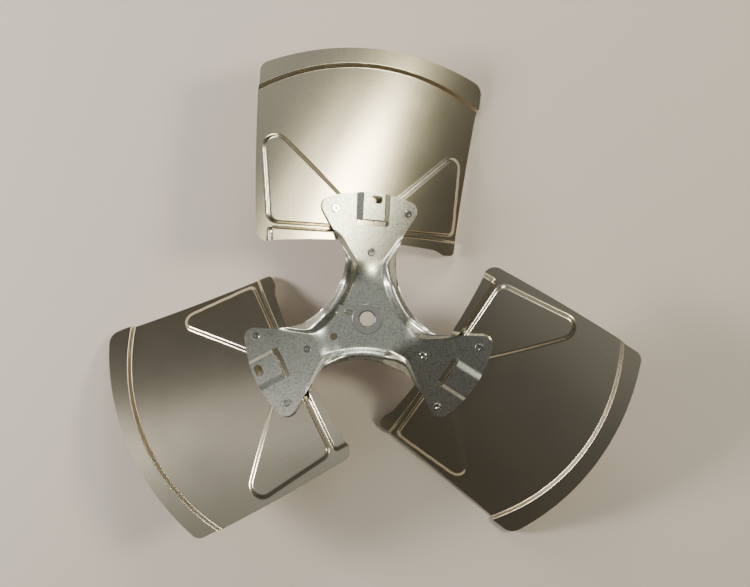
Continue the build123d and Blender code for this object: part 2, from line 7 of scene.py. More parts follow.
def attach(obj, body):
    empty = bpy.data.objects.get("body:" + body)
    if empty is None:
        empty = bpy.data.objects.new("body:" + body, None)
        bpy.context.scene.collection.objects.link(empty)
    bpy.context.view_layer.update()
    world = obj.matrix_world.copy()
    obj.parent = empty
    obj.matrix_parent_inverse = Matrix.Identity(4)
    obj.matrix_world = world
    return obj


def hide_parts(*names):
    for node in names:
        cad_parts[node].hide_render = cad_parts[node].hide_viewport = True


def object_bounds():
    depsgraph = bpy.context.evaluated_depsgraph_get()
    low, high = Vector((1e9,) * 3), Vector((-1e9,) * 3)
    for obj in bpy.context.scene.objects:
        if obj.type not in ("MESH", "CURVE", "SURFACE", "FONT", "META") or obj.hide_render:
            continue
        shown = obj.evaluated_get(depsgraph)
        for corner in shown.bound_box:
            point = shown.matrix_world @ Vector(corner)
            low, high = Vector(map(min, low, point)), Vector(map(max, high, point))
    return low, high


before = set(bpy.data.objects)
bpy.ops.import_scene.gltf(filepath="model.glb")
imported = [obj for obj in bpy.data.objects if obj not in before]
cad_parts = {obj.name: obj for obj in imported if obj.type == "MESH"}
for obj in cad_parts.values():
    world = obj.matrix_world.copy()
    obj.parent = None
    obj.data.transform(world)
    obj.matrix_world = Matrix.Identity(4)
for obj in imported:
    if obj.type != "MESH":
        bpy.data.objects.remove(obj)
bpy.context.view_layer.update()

MM = 0.001

# The three arms, and the angle between faces from which an edge stays sharp
FIRST_ARM = math.radians(90.0)
ARM_STEP = math.radians(120.0)
SHARP_ANGLE = 0.7

# Blade pitch, rolled curve and pressed steps, as in the solids, in millimetres
PITCH = math.radians(27.0)
PAD_RADIUS = 86.0
CAMBER_RADIUS = 380.0
CAMBER_SKEW = math.radians(22.3)
SHEET = 1.2
PANEL_RISE = 2.5
RIM_RISE = 3.5
PANEL_STEP = 2.8
RIM_STEP = 3.6
RIM_CENTRE = (36.5, 3.7)
RIM_RADIUS = 177.4
UNDER_FACE_SHIFT = 0.5

# Blade outline: tip circle, tip corners across the arm, inner edge, the lobe at its high end, and the tab
TIP_RADIUS = 228.6
HIGH_TIP_ACROSS = 96.9
LOW_TIP_ACROSS = -92.4
INNER_EDGE = ((62.0, -56.0), (65.4, 0), (61.4, 80.5))
LOBE_CENTRE = (70.0, 83.8)
LOBE_REACH = 6.79
TAB_END = 51.4
TAB_HALF_WIDTH = 11.5
TAB_CORNER = 5.0

# Blade mesh: columns, and the shares of each part's length where the strip and the tip's step lie
BLADE_COLUMNS = 225
EDGE_SHARE = 0.03
STRIP_SHARE = 0.15
STEP_START_SHARE = 0.972
STEP_END_SHARE = 0.13

# Spider: sheet, hole for the hub's neck, where the hub plate turns into the pad, and the pad's reach
SPIDER_SHEET = 2.3
NECK_RADIUS = 10.4
TWIST_START = 28.0
TWIST_END = 50.5
PAD_REACH = 106.5

# Spider's hollow edges and the bead along each, whose crest lies inside the edge and fades towards the pads
HOLLOW_CENTRE = 102.7
HOLLOW_RADIUS = 68.0
BEAD_RISE = 3.8
BEAD_CREST = 5.2
BEAD_HUB_WIDTH = 7.0
BEAD_EDGE_WIDTH = 6.4
BEAD_FADE_START = 33.0
BEAD_FADE_LENGTH = 13.0
BEAD_FADE_DRIFT = 10.2
BEAD_FADE_LOSS = 1.6
BEAD_END_START = 42.0
BEAD_END_LENGTH = 7.0

# Bridge on each pad, the slot at its end and the oblong hole in two of them
BRIDGE_BASE = 30.0
BRIDGE_TOP = 21.0
BRIDGE_RISE = 3.0
BRIDGE_END_RUN = 1.6
SLOT_MIDDLE = 80.9
SLOT_WIDTH = 5.2
SLOT_LENGTH = 29.4
SLOT_CORNER = 2.0
OBLONG_PLACE = (100.6, -1.5)
OBLONG_WIDTH = 6.6
OBLONG_LENGTH = 11.6
OBLONG_CORNER = 3.25

# Slot and notch over the set screw, and the pilot hole
SCREW_BEARING = math.radians(161.5)
SCREW_SLOT_MIDDLE = 10.0
SCREW_SLOT_LENGTH = 21.4
SCREW_SLOT_WIDTH = 4.8
SCREW_SLOT_CORNER = 2.35
NOTCH_HALF_WIDTH = 4.3
NOTCH_REACH = 27.3
NOTCH_EDGE = 0.7
PILOT_BEARING = math.radians(210)
PILOT_DISTANCE = 31.6
PILOT_RADIUS = 3.1
CUT_HALF_HEIGHT = 30.0

# The photograph's camera: height over the table and where it stands, seen from the shaft
CAMERA_HEIGHT = 1036.0
CAMERA_RIGHT = 6.6
CAMERA_UP = 11.0
CAMERA_TURN = math.radians(2.5)
LENS = 55.9
AIM_UP = 11.1


def arm_turn(index):
    """The direction of an arm in radians. The arms are numbered from 0."""
    return FIRST_ARM + ARM_STEP * index


def turn_matrix(turn):
    """The turn of plan points about the shaft."""
    return np.array([[math.cos(turn), -math.sin(turn)], [math.sin(turn), math.cos(turn)]])


# Blade surface

def camber_frame():
    """A point on the rolling cylinder's axis, and its direction."""
    y_dir = np.array([0.0, math.cos(PITCH), math.sin(PITCH)])
    normal = np.array([0.0, -math.sin(PITCH), math.cos(PITCH)])
    direction = np.array([math.cos(CAMBER_SKEW), 0, 0]) - y_dir * math.sin(CAMBER_SKEW)
    return np.array([PAD_RADIUS, 0, 0]) - normal * CAMBER_RADIUS, direction


def skin_height(lift, along, across):
    """Height of the rolled skin over points of the plan."""
    point, axis = camber_frame()
    foot = np.stack([along, across, np.zeros_like(along)], -1) - point
    flat = foot - (foot @ axis)[..., None] * axis
    up = np.array([0, 0, 1.0])
    up = up - axis * (up @ axis)
    a = up @ up
    b = flat @ up
    c = (flat ** 2).sum(-1) - (CAMBER_RADIUS + lift) ** 2
    return (-b + np.sqrt(b * b - a * c)) / a


def arc(a, b, c, count):
    """Points of the circular arc from a through b to c."""
    a, b, c = (np.array(p, float) for p in (a, b, c))
    m = 2 * np.array([b - a, c - a])
    centre = np.linalg.solve(m, [b @ b - a @ a, c @ c - a @ a])
    radius = np.linalg.norm(a - centre)
    angles = [math.atan2(*(p - centre)[::-1]) for p in (a, b, c)]
    span = (angles[2] - angles[0]) % (2 * math.pi)
    if (angles[1] - angles[0]) % (2 * math.pi) > span:
        span -= 2 * math.pi
    t = angles[0] + span * np.linspace(0, 1, count)
    return centre + radius * np.stack([np.cos(t), np.sin(t)], -1)


def trimmed(points, start, end):
    """A polyline with a length taken off each end."""
    steps = np.linalg.norm(np.diff(points, axis=0), axis=1)
    reach = np.concatenate([[0], np.cumsum(steps)])
    finish = reach[-1] - end
    keep = np.unique(np.concatenate([[start], reach[(reach > start) & (reach < finish)], [finish]]))
    return np.stack([np.interp(keep, reach, points[:, i]) for i in (0, 1)], -1)


def rounded(sides, radii):
    """One closed outline from sides that meet end to end, each start corner rounded by its radius."""
    sides = [np.array(s, float) for s in sides]
    count = len(sides)
    cuts = []
    turns = []
    for i in range(count):
        before, after = sides[i - 1], sides[i]
        d0 = before[-1] - before[-2]
        d1 = after[1] - after[0]
        turn = math.atan2(d0[0] * d1[1] - d0[1] * d1[0], d0 @ d1)
        turns.append(turn)
        cuts.append(radii[i] * math.tan(abs(turn) / 2))
    result = []
    trims = [trimmed(s, cuts[i], cuts[(i + 1) % count]) for i, s in enumerate(sides)]
    for i in range(count):
        if radii[i] > 0:
            p0, p3 = trims[i - 1][-1], trims[i][0]
            e0 = trims[i - 1][-1] - trims[i - 1][-2]
            e1 = trims[i][1] - trims[i][0]
            k = 4 / 3 * math.tan(abs(turns[i]) / 4) * radii[i]
            p1 = p0 + e0 / np.linalg.norm(e0) * k
            p2 = p3 - e1 / np.linalg.norm(e1) * k
            t = np.linspace(0, 1, 13)[1:-1, None]
            start_part = (1 - t) ** 3 * p0 + 3 * (1 - t) ** 2 * t * p1
            result.append(start_part + 3 * (1 - t) * t ** 2 * p2 + t ** 3 * p3)
        result.append(trims[i])
    points = np.concatenate(result)
    apart = np.linalg.norm(points - np.roll(points, 1, 0), axis=1) > 1e-6
    return points[apart]


def inside_distance(points, outline):
    """Distance of points from an outline, positive inside it."""
    a = outline
    b = np.roll(outline, -1, 0)
    nearest = np.full(len(points), 1e9)
    inside = np.zeros(len(points), bool)
    for p, q in zip(a, b):
        d = q - p
        t = np.clip(((points - p) @ d) / (d @ d), 0, 1)
        nearest = np.minimum(nearest, np.linalg.norm(points - p - t[:, None] * d, axis=1))
        crosses = (p[1] > points[:, 1]) != (q[1] > points[:, 1])
        if abs(d[1]) > 1e-12:
            inside ^= crosses & (points[:, 0] < p[0] + d[0] * (points[:, 1] - p[1]) / d[1])
    return np.where(inside, nearest, -nearest)


def straight(*corners):
    """Straight sides round a closed row of corners."""
    return [(corners[i], corners[(i + 1) % len(corners)]) for i in range(len(corners))]


def pressed_shapes():
    """Outlines, in the pad's plane, of the raised panels, the strip and the seat that joins the panels."""
    high = rounded(straight((76.5, 7.0), (82.4, 7.0), (162.4, 94.9), (76.5, 88.8)), (2.5, 2.5, 10.0, 8.0))
    low = rounded(straight((76.5, -1.0), (82.1, -1.0), (153.0, -87.6), (76.5, -86.0)), (2.5, 2.5, 8.5, 5.0))
    strip_sides = [
        ((30, -115), (68.9, -115)),
        arc((68.9, -115), (71.3, -68), (72.1, -20), 24),
        ((72.1, -20), (72.1, 88)),
        ((72.1, 88), (30, 88)),
        ((30, 88), (30, -115)),
    ]
    strip = rounded(strip_sides, (0, 0, 0, 3.0, 0))
    seat = rounded(straight((76.5, -4.0), (87.0, -4.0), (87.0, 10.0), (76.5, 10.0)), (0, 0, 0, 0))
    return high, low, strip, seat


def ease(x):
    """A smooth S from 0 to 1."""
    x = np.clip(x, 0, 1)
    return x * x * (3 - 2 * x)


SHAPES = pressed_shapes()


def blade_height(along, across, under):
    """Height of the blade's upper or under face over points of the plan."""
    z = skin_height(-PANEL_RISE / 2, along, across)
    shift = UNDER_FACE_SHIFT if under else 0.0
    for _ in range(2):
        up_pitch = across * math.cos(PITCH) + z * math.sin(PITCH)
        flat = np.stack([along, up_pitch], -1)
        raised = np.zeros_like(along)
        for shape in SHAPES:
            near = inside_distance(flat, shape) - shift
            raised = np.maximum(raised, PANEL_RISE * ease(near / PANEL_STEP + 0.5))
        rim = np.hypot(along - RIM_CENTRE[0], across - RIM_CENTRE[1]) - RIM_RADIUS - shift
        raised = np.maximum(raised, RIM_RISE * ease(rim / RIM_STEP + 0.5))
        z = skin_height(raised - PANEL_RISE - (SHEET if under else 0.0), along, across)
    return z


def nearest_points(outline, marks):
    """The number of the outline's point nearest to each mark."""
    return [int(np.argmin(np.linalg.norm(outline - np.array(mark), axis=1))) for mark in marks]


def between(outline, first, last):
    """The outline's points from one number to another, round its end where need be."""
    if first <= last:
        return outline[first:last + 1]
    return np.concatenate([outline[first:], outline[:last + 1]])


def blade_sides():
    """The four sides of the blade's outline in plan, split in the middle of its corners."""
    high_tip = (math.sqrt(TIP_RADIUS ** 2 - HIGH_TIP_ACROSS ** 2), HIGH_TIP_ACROSS)
    low_tip = (math.sqrt(TIP_RADIUS ** 2 - LOW_TIP_ACROSS ** 2), LOW_TIP_ACROSS)
    lobe_middle = (LOBE_CENTRE[0] - LOBE_REACH, LOBE_CENTRE[1] + LOBE_REACH)
    sides = [
        arc(*INNER_EDGE, 60),
        [INNER_EDGE[2], (60.4, 83.8)],
        arc((60.4, 83.8), lobe_middle, (70.0, 93.4), 24),
        arc((70.0, 93.4), (127.5, 96.65), (185.0, 98.1), 60),
        [(185.0, 98.1), (187.1, 97.6), (190.5, HIGH_TIP_ACROSS)],
        [(190.5, HIGH_TIP_ACROSS), high_tip],
        arc(high_tip, (TIP_RADIUS, 0), low_tip, 90),
        [low_tip, (190.5, -90.8)],
        [(190.5, -90.8), (187.4, -89.3), (185.0, -88.2)],
        arc((185.0, -88.2), (121.6, -79.7), (58.2, -73.4), 60),
        [(58.2, -73.4), (58.2, -63.9)],
        [(58.2, -63.9), INNER_EDGE[0]],
    ]
    outline = rounded(sides, (2.0, 2.0, 0, 0, 2.5, 2.5, 9.0, 11.0, 2.5, 2.5, 4.0, 4.0))
    marks = [(58.9, -72.6), (63.2, 90.6), (204.6, 94.2), (205.5, -88.9), (187.4, -89.3), (187.1, 97.6)]
    inner_low, inner_high, tip_high, tip_low, step_low, step_high = nearest_points(outline, marks)
    step_middle = (RIM_CENTRE[0] + RIM_RADIUS, RIM_CENTRE[1])
    step = arc(outline[step_low], step_middle, outline[step_high], 120)
    inner = between(outline, inner_low, inner_high)
    high = between(outline, inner_high, step_high)
    low = between(outline, step_low, inner_low)[::-1]
    tip = between(outline, tip_high, tip_low)[::-1]
    tip_part = (step, between(outline, step_high, tip_high), tip, between(outline, tip_low, step_low)[::-1])
    return (inner, high, step, low), tip_part


def resampled(points, shares):
    """Points at given shares of a polyline's length."""
    steps = np.linalg.norm(np.diff(points, axis=0), axis=1)
    reach = np.concatenate([[0], np.cumsum(steps)])
    return np.stack([np.interp(shares * reach[-1], reach, points[:, i]) for i in (0, 1)], -1)


def patch(inner, high, tip, low, across, along=None):
    """Grid of plan points between four sides: inner and tip run low to high, low and high run inner to tip.

    Rows lie at the given shares of the long sides, or at those sides' own points where along is left out.
    """
    inner, tip = resampled(inner, across), resampled(tip, across)
    if along is None:
        along = np.linspace(0, 1, len(low))
    else:
        low, high = resampled(low, along), resampled(high, along)
    s = along[:, None, None]
    t = across[None, :, None]
    ruled = (1 - s) * inner[None] + s * tip[None] + (1 - t) * low[:, None] + t * high[:, None]
    inner_corners = (1 - s) * (1 - t) * inner[0] + (1 - s) * t * inner[-1]
    tip_corners = s * (1 - t) * tip[0] + s * t * tip[-1]
    return ruled - (inner_corners + tip_corners)


def joined(grids):
    """Plan points of several grids with shared ones merged, and the grids' faces over them."""
    points = np.concatenate([g.reshape(-1, 2) for g in grids])
    faces = []
    start = 0
    for g in grids:
        ids = start + np.arange(g.shape[0] * g.shape[1]).reshape(g.shape[:2])
        corners = [ids[:-1, :-1], ids[1:, :-1], ids[1:, 1:], ids[:-1, 1:]]
        faces.append(np.stack(corners, -1).reshape(-1, 4))
        start += ids.size
    _, first, back = np.unique(np.round(points, 4), axis=0, return_index=True, return_inverse=True)
    return points[first], back.ravel()[np.concatenate(faces)]


def sheet_solid(flat, faces, top, bottom):
    """A closed sheet over plan points: upper and under faces, and walls along every free edge."""
    count = len(flat)
    edges = np.concatenate([faces[:, [i, (i + 1) % 4]] for i in range(4)])
    edges = edges[edges[:, 0] != edges[:, 1]]
    keys = edges[:, 0] * count + edges[:, 1]
    free = edges[~np.isin(keys, edges[:, 1] * count + edges[:, 0])]
    walls = np.stack([free[:, 1], free[:, 0], free[:, 0] + count, free[:, 1] + count], -1)
    verts = np.concatenate([np.column_stack([flat, top]), np.column_stack([flat, bottom])])
    return verts, np.concatenate([faces, faces[:, ::-1] + count, walls])


def blade_grids():
    """Plan points of the blade, with close rows over the strip and on both sides of the tip's step."""
    inner_part, tip_part = blade_sides()
    across = np.linspace(0, 1, BLADE_COLUMNS)
    near_step = np.linspace(0, 1, 17)
    edge_rows = np.linspace(0, EDGE_SHARE, 5)[:-1]
    strip_rows = np.linspace(EDGE_SHARE, STRIP_SHARE, 42)
    field_rows = np.linspace(STRIP_SHARE, STEP_START_SHARE, 100)[1:-1]
    step_rows = STEP_START_SHARE + (1 - STEP_START_SHARE) * near_step
    inner_rows = np.concatenate([edge_rows, strip_rows, field_rows, step_rows])
    tip_rows = np.concatenate([STEP_END_SHARE * near_step, np.linspace(STEP_END_SHARE, 1, 38)[1:]])
    return [patch(*inner_part, across, inner_rows), patch(*tip_part, across, tip_rows)]


def tab_grid():
    """Plan points of the tab that runs under the arm from the blade's inner edge."""
    curve = arc(*INNER_EDGE, 200)
    straight_half = TAB_HALF_WIDTH - TAB_CORNER
    rounding = TAB_CORNER * np.cos(np.linspace(0, math.pi / 2, 8))
    across = np.concatenate([-straight_half - rounding, [0.0]])
    across = np.concatenate([across, -across[-2::-1]])
    past_straight = np.clip(np.abs(across) - straight_half, 0, TAB_CORNER)
    corner = TAB_CORNER - np.sqrt(np.clip(TAB_CORNER ** 2 - past_straight ** 2, 0, None))
    outer = np.interp(across, curve[:, 1], curve[:, 0])
    t = np.linspace(0, 1, 16)[:, None]
    along = (1 - t) * (TAB_END + corner)[None] + t * outer[None]
    return np.stack([along, np.broadcast_to(across, along.shape)], -1)


def blade_mesh():
    """The blade's sheet and the tab under the arm, drawn along +X, in metres."""
    flat, faces = joined(blade_grids())
    verts, faces = sheet_solid(flat, faces, blade_height(*flat.T, False), blade_height(*flat.T, True))
    flat, tab_faces = joined([tab_grid()])
    tab, tab_faces = sheet_solid(flat, tab_faces, skin_height(0.0, *flat.T), skin_height(-SHEET, *flat.T))
    return np.concatenate([verts, tab]) * MM, np.concatenate([faces, tab_faces + len(verts)])


# Spider surface

def polar(radius, degrees):
    """A point of the plan at a distance and a direction."""
    angle = math.radians(degrees)
    return (radius * math.cos(angle), radius * math.sin(angle))


def arm_height(lift, along, across):
    """Height of the arm's sheet: the hub plate turning into the pad."""
    share = ease((along - TWIST_START) / (TWIST_END - TWIST_START))
    return share * skin_height(lift, np.maximum(along, TWIST_END), across) + (1 - share) * lift


def bead_rise(along, across):
    """How far the two beads beside an arm lift its sheet."""
    rise = np.zeros_like(along)
    for sign in (1, -1):
        centre = np.array(polar(HOLLOW_CENTRE, 60.0 * sign))
        far = np.hypot(along - centre[0], across - centre[1])
        side = np.abs(along * math.sin(math.radians(60)) - sign * across * 0.5)
        fade = ease((side - BEAD_FADE_START) / BEAD_FADE_LENGTH)
        gap = far - (HOLLOW_RADIUS + BEAD_CREST - BEAD_FADE_DRIFT * fade)
        width = np.where(gap > 0, BEAD_HUB_WIDTH, BEAD_EDGE_WIDTH)
        bump = 0.5 * (1 + np.cos(math.pi * np.clip(gap / width, -1, 1)))
        end = 1 - ease((side - BEAD_END_START) / BEAD_END_LENGTH)
        rise = np.maximum(rise, (BEAD_RISE - BEAD_FADE_LOSS * fade) * bump * end)
    return rise


def bridge_rise(along, across, top):
    """How far the bridge lifts the pad, square to it. The lift itself shifts the bridge down the pitch."""
    up_pitch = across * math.cos(PITCH) + top * math.sin(PITCH)
    shift = BRIDGE_RISE * math.tan(PITCH)
    run = (BRIDGE_BASE - BRIDGE_TOP) / 2
    high = (BRIDGE_BASE / 2 - up_pitch) / (run + shift)
    low = (BRIDGE_BASE / 2 + up_pitch) / (run - shift)
    end = (along - SLOT_MIDDLE) / BRIDGE_END_RUN + 0.5
    return BRIDGE_RISE * np.clip(np.minimum(np.minimum(high, low), end), 0, 1)


def sector_grid():
    """Plan points of one arm's share of the spider, drawn along +X."""
    high_waist, low_waist = (54.6, 19.7), (57.0, -23.0)
    high_corner, low_corner, low_bend = (96.6, 44.9), (97.6, -42.7), (72.5, -28.0)
    spin = turn_matrix(ARM_STEP)
    apex = np.array(polar(HOLLOW_CENTRE - HOLLOW_RADIUS, 60))
    hollow = arc(high_waist, apex, spin @ np.array(low_waist), 241)
    middle = int(np.argmin(np.linalg.norm(hollow - apex, axis=1)))
    hollow[middle] = apex
    high_hollow = hollow[:middle + 1][::-1]
    low_hollow = hollow[middle:][::-1] @ spin
    sides = [
        arc(polar(NECK_RADIUS, -60), (NECK_RADIUS, 0), polar(NECK_RADIUS, 60), 90),
        [polar(NECK_RADIUS, 60), tuple(apex)],
        high_hollow,
        [high_waist, high_corner],
        arc(high_corner, (PAD_REACH, 0), low_corner, 90),
        [low_corner, low_bend],
        [low_bend, low_waist],
        low_hollow,
        [tuple(apex @ spin), polar(NECK_RADIUS, -60)],
    ]
    outline = rounded(sides, (0, 0, 0, 9.0, 9.3, 8.5, 20.0, 9.0, 0))
    marks = [polar(NECK_RADIUS, -60), polar(NECK_RADIUS, 60), apex, (94.9, 41.2), (95.7, -39.4), apex @ spin]
    neck_low, neck_high, high_apex, pad_high, pad_low, low_apex = nearest_points(outline, marks)
    share = np.linspace(0, 1, 101)
    line = np.linspace(0, 1, 31)[:, None]
    high = (1 - line) * np.array(polar(NECK_RADIUS, 60)) + line * apex
    low = (1 - line) * np.array(polar(NECK_RADIUS, -60)) + line * (apex @ spin)
    high = np.concatenate([high, resampled(between(outline, high_apex, pad_high), share)[1:]])
    low = np.concatenate([low, resampled(between(outline, pad_low, low_apex)[::-1], share)[1:]])
    neck = between(outline, neck_low, neck_high)
    return patch(neck, high, between(outline, pad_high, pad_low)[::-1], low, share)


def spider_mesh():
    """The spider's sheet in metres, before its holes are cut."""
    one = sector_grid()
    flat = one.reshape(-1, 2)
    lifted = bead_rise(*flat.T)
    bridge = bridge_rise(*flat.T, arm_height(SPIDER_SHEET, *flat.T)) / math.cos(PITCH)
    heights = [arm_height(lift, *flat.T) + bridge for lift in (SPIDER_SHEET, 0.0)]
    grids, tops, bottoms = [], [], []
    screw_way = np.array([math.cos(SCREW_BEARING), math.sin(SCREW_BEARING)])
    beside_way = np.array([-math.sin(SCREW_BEARING), math.cos(SCREW_BEARING)])
    for index in range(3):
        turned = flat @ turn_matrix(arm_turn(index)).T
        ahead_of = turned @ screw_way
        beside = np.abs(turned @ beside_way)
        notch = ease((NOTCH_HALF_WIDTH - beside) / NOTCH_EDGE) * ease((NOTCH_REACH - ahead_of) / NOTCH_EDGE)
        rise = lifted * (1 - notch * (ahead_of > 0))
        grids.append(turned.reshape(one.shape))
        tops.append(heights[0] + rise)
        bottoms.append(heights[1] + rise)
    points = np.concatenate([g.reshape(-1, 2) for g in grids])
    flat, faces = joined(grids)
    order = {tuple(p): i for i, p in reversed(list(enumerate(np.round(points, 4).tolist())))}
    pick = np.array([order[tuple(p)] for p in np.round(flat, 4).tolist()])
    verts, faces = sheet_solid(flat, faces, np.concatenate(tops)[pick], np.concatenate(bottoms)[pick])
    return verts * MM, faces


def cutter(name, outline, place):
    """A prism for cutting a hole: an outline in millimetres, tall along Z, moved by a matrix in metres."""
    count = len(outline)
    low = np.column_stack([outline, np.full(count, -CUT_HALF_HEIGHT)]) * MM
    high = np.column_stack([outline, np.full(count, CUT_HALF_HEIGHT)]) * MM
    ids = np.arange(count)
    after = np.roll(ids, -1)
    mesh = bpy.data.meshes.new(name)
    sides = np.stack([ids, after, after + count, ids + count], -1).tolist()
    ends = [ids[::-1].tolist(), (ids + count).tolist()]
    mesh.from_pydata(np.concatenate([low, high]).tolist(), [], sides + ends)
    obj = bpy.data.objects.new(name, mesh)
    bpy.context.scene.collection.objects.link(obj)
    obj.matrix_world = place
    return obj


def rounded_box(centre, length, width, radii):
    """A rectangle along X with its four corners rounded, from the low left one on."""
    x, y = length / 2, width / 2
    corners = [(-x, -y), (x, -y), (x, y), (-x, y)]
    return rounded(straight(*corners), radii) + np.array(centre)


def cut_holes(sheet):
    """Cut the slots and holes out of the spider's sheet."""
    pad = Matrix.Rotation(PITCH, 4, "X")
    screw_corners = (0, SCREW_SLOT_CORNER, SCREW_SLOT_CORNER, 0)
    screw = rounded_box((SCREW_SLOT_MIDDLE, 0), SCREW_SLOT_LENGTH, SCREW_SLOT_WIDTH, screw_corners)
    ring = np.linspace(0, 2 * math.pi, 48, endpoint=False)
    pilot = np.stack([PILOT_DISTANCE + PILOT_RADIUS * np.cos(ring), PILOT_RADIUS * np.sin(ring)], -1)
    cuts = [
        cutter("cut_screw", screw, Matrix.Rotation(SCREW_BEARING, 4, "Z")),
        cutter("cut_pilot", pilot, Matrix.Rotation(PILOT_BEARING, 4, "Z")),
    ]
    slot = rounded_box((SLOT_MIDDLE, 0), SLOT_WIDTH, SLOT_LENGTH, (SLOT_CORNER, 0, 0, SLOT_CORNER))
    oblong = rounded_box(OBLONG_PLACE, OBLONG_WIDTH, OBLONG_LENGTH, (OBLONG_CORNER,) * 4)
    for index in range(3):
        place = Matrix.Rotation(arm_turn(index), 4, "Z") @ pad
        cuts.append(cutter(f"cut_slot_{index}", slot, place))
        if index < 2:
            cuts.append(cutter(f"cut_oblong_{index}", oblong, place))
    for cut in cuts:
        step = sheet.modifiers.new(cut.name, "BOOLEAN")
        step.operation = "DIFFERENCE"
        step.solver = "EXACT"
        step.object = cut
    bpy.context.view_layer.update()
    done = bpy.data.meshes.new_from_object(sheet.evaluated_get(bpy.context.evaluated_depsgraph_get()))
    sheet.modifiers.clear()
    sheet.data = done
    done.shade_smooth()
    done.set_sharp_from_angle(angle=SHARP_ANGLE)
    for cut in cuts:
        bpy.data.objects.remove(cut)


def mesh_object(name, verts, faces):
    """A piece of the scene from vertices in metres, smooth but for its sharp edges."""
    mesh = bpy.data.meshes.new(name)
    mesh.from_pydata(verts.tolist(), [], faces.tolist())
    mesh.validate()
    mesh.shade_smooth()
    mesh.set_sharp_from_angle(angle=SHARP_ANGLE)
    obj = bpy.data.objects.new(name, mesh)
    bpy.context.scene.collection.objects.link(obj)
    return obj


# Materials

def new_material(name):
    """A new material, its node tree and its shader."""
    mat = bpy.data.materials.new(name)
    mat.use_nodes = True
    tree = mat.node_tree
    return mat, tree, tree.nodes["Principled BSDF"]


def node(tree, kind, **inputs):
    """A new node with some inputs set by name."""
    n = tree.nodes.new(kind)
    for key, value in inputs.items():
        n.inputs[key.replace("_", " ")].default_value = value
    return n


def mixed(tree, factor, low, high):
    """A colour between two, by a factor."""
    mix = tree.nodes.new("ShaderNodeMix")
    mix.data_type = "RGBA"
    mix.inputs[6].default_value = low
    mix.inputs[7].default_value = high
    tree.links.new(factor, mix.inputs[0])
    return mix.outputs[2]


def ranged(tree, value, low, high, out_low, out_high):
    """A value carried over from one range to another."""
    n = tree.nodes.new("ShaderNodeMapRange")
    for i, v in enumerate((low, high, out_low, out_high)):
        n.inputs[i + 1].default_value = v
    tree.links.new(value, n.inputs[0])
    return n.outputs[0]


def aluminium(name, turn):
    """Mill aluminium with a faint rolling grain along the arm."""
    mat, tree, shader = new_material(name)
    place = tree.nodes.new("ShaderNodeTexCoord")
    turned = node(tree, "ShaderNodeMapping", Rotation=(0, 0, -turn))
    tree.links.new(place.outputs["Object"], turned.inputs[0])
    drawn = node(tree, "ShaderNodeMapping", Scale=(2.0, 40.0, 2.0))
    tree.links.new(turned.outputs[0], drawn.inputs[0])
    grain = node(tree, "ShaderNodeTexNoise", Scale=26.0, Detail=4.0)
    tree.links.new(drawn.outputs[0], grain.inputs[0])
    blotch = node(tree, "ShaderNodeTexNoise", Scale=14.0, Detail=3.0)
    tree.links.new(place.outputs["Object"], blotch.inputs[0])
    streak = ranged(tree, grain.outputs[0], 0.35, 0.65, 0, 1)
    colour = mixed(tree, streak, (0.67, 0.605, 0.465, 1), (0.70, 0.635, 0.495, 1))
    tree.links.new(colour, shader.inputs["Base Color"])
    tree.links.new(ranged(tree, blotch.outputs[0], 0.3, 0.7, 0.20, 0.24), shader.inputs["Roughness"])
    shader.inputs["Metallic"].default_value = 1.0
    bump = node(tree, "ShaderNodeBump", Strength=0.01, Distance=0.0003)
    tree.links.new(grain.outputs[0], bump.inputs["Height"])
    tree.links.new(bump.outputs[0], shader.inputs["Normal"])
    return mat


def galvanised():
    """Zinc-coated steel with a fine mottled spangle."""
    mat, tree, shader = new_material("galvanised")
    place = tree.nodes.new("ShaderNodeTexCoord")
    cells = node(tree, "ShaderNodeTexVoronoi", Scale=1000.0)
    tree.links.new(place.outputs["Object"], cells.inputs["Vector"])
    cloud = node(tree, "ShaderNodeTexNoise", Scale=900.0, Detail=3.0)
    tree.links.new(place.outputs["Object"], cloud.inputs[0])
    pale = ranged(tree, cells.outputs["Color"], 0.05, 0.55, 0, 1)
    colour = mixed(tree, pale, (0.40, 0.415, 0.365, 1), (0.70, 0.715, 0.635, 1))
    tree.links.new(colour, shader.inputs["Base Color"])
    tree.links.new(ranged(tree, cloud.outputs[0], 0.3, 0.7, 0.26, 0.36), shader.inputs["Roughness"])
    shader.inputs["Metallic"].default_value = 1.0
    bump = node(tree, "ShaderNodeBump", Strength=0.2, Distance=0.0003)
    tree.links.new(cloud.outputs[0], bump.inputs["Height"])
    tree.links.new(bump.outputs[0], shader.inputs["Normal"])
    return mat


def plain_metal(name, colour, roughness):
    """A metal with a soft cloud in its colour and its roughness."""
    mat, tree, shader = new_material(name)
    place = tree.nodes.new("ShaderNodeTexCoord")
    cloud = node(tree, "ShaderNodeTexNoise", Scale=300.0, Detail=3.0)
    tree.links.new(place.outputs["Object"], cloud.inputs[0])
    low = tuple(c * 0.88 for c in colour) + (1,)
    tree.links.new(mixed(tree, cloud.outputs[0], low, colour + (1,)), shader.inputs["Base Color"])
    rough = ranged(tree, cloud.outputs[0], 0.3, 0.7, roughness - 0.05, roughness + 0.05)
    tree.links.new(rough, shader.inputs["Roughness"])
    shader.inputs["Metallic"].default_value = 1.0
    return mat


def paper():
    """The pale matt sheet under the fan."""
    mat, tree, shader = new_material("paper")
    shader.inputs["Base Color"].default_value = (0.72, 0.645, 0.575, 1)
    shader.inputs["Roughness"].default_value = 0.8
    shader.inputs["Specular IOR Level"].default_value = 0.2
    return mat


# Pieces

verts, faces = blade_mesh()
for index in range(3):
    turned = verts[:, :2] @ turn_matrix(arm_turn(index)).T
    blade = mesh_object(f"blade_sheet_{index + 1}", np.column_stack([turned, verts[:, 2]]), faces)
    blade.data.materials.append(aluminium(f"aluminium_{index + 1}", arm_turn(index)))
    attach(blade, "root")
    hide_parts(f"blade_{index + 1}")

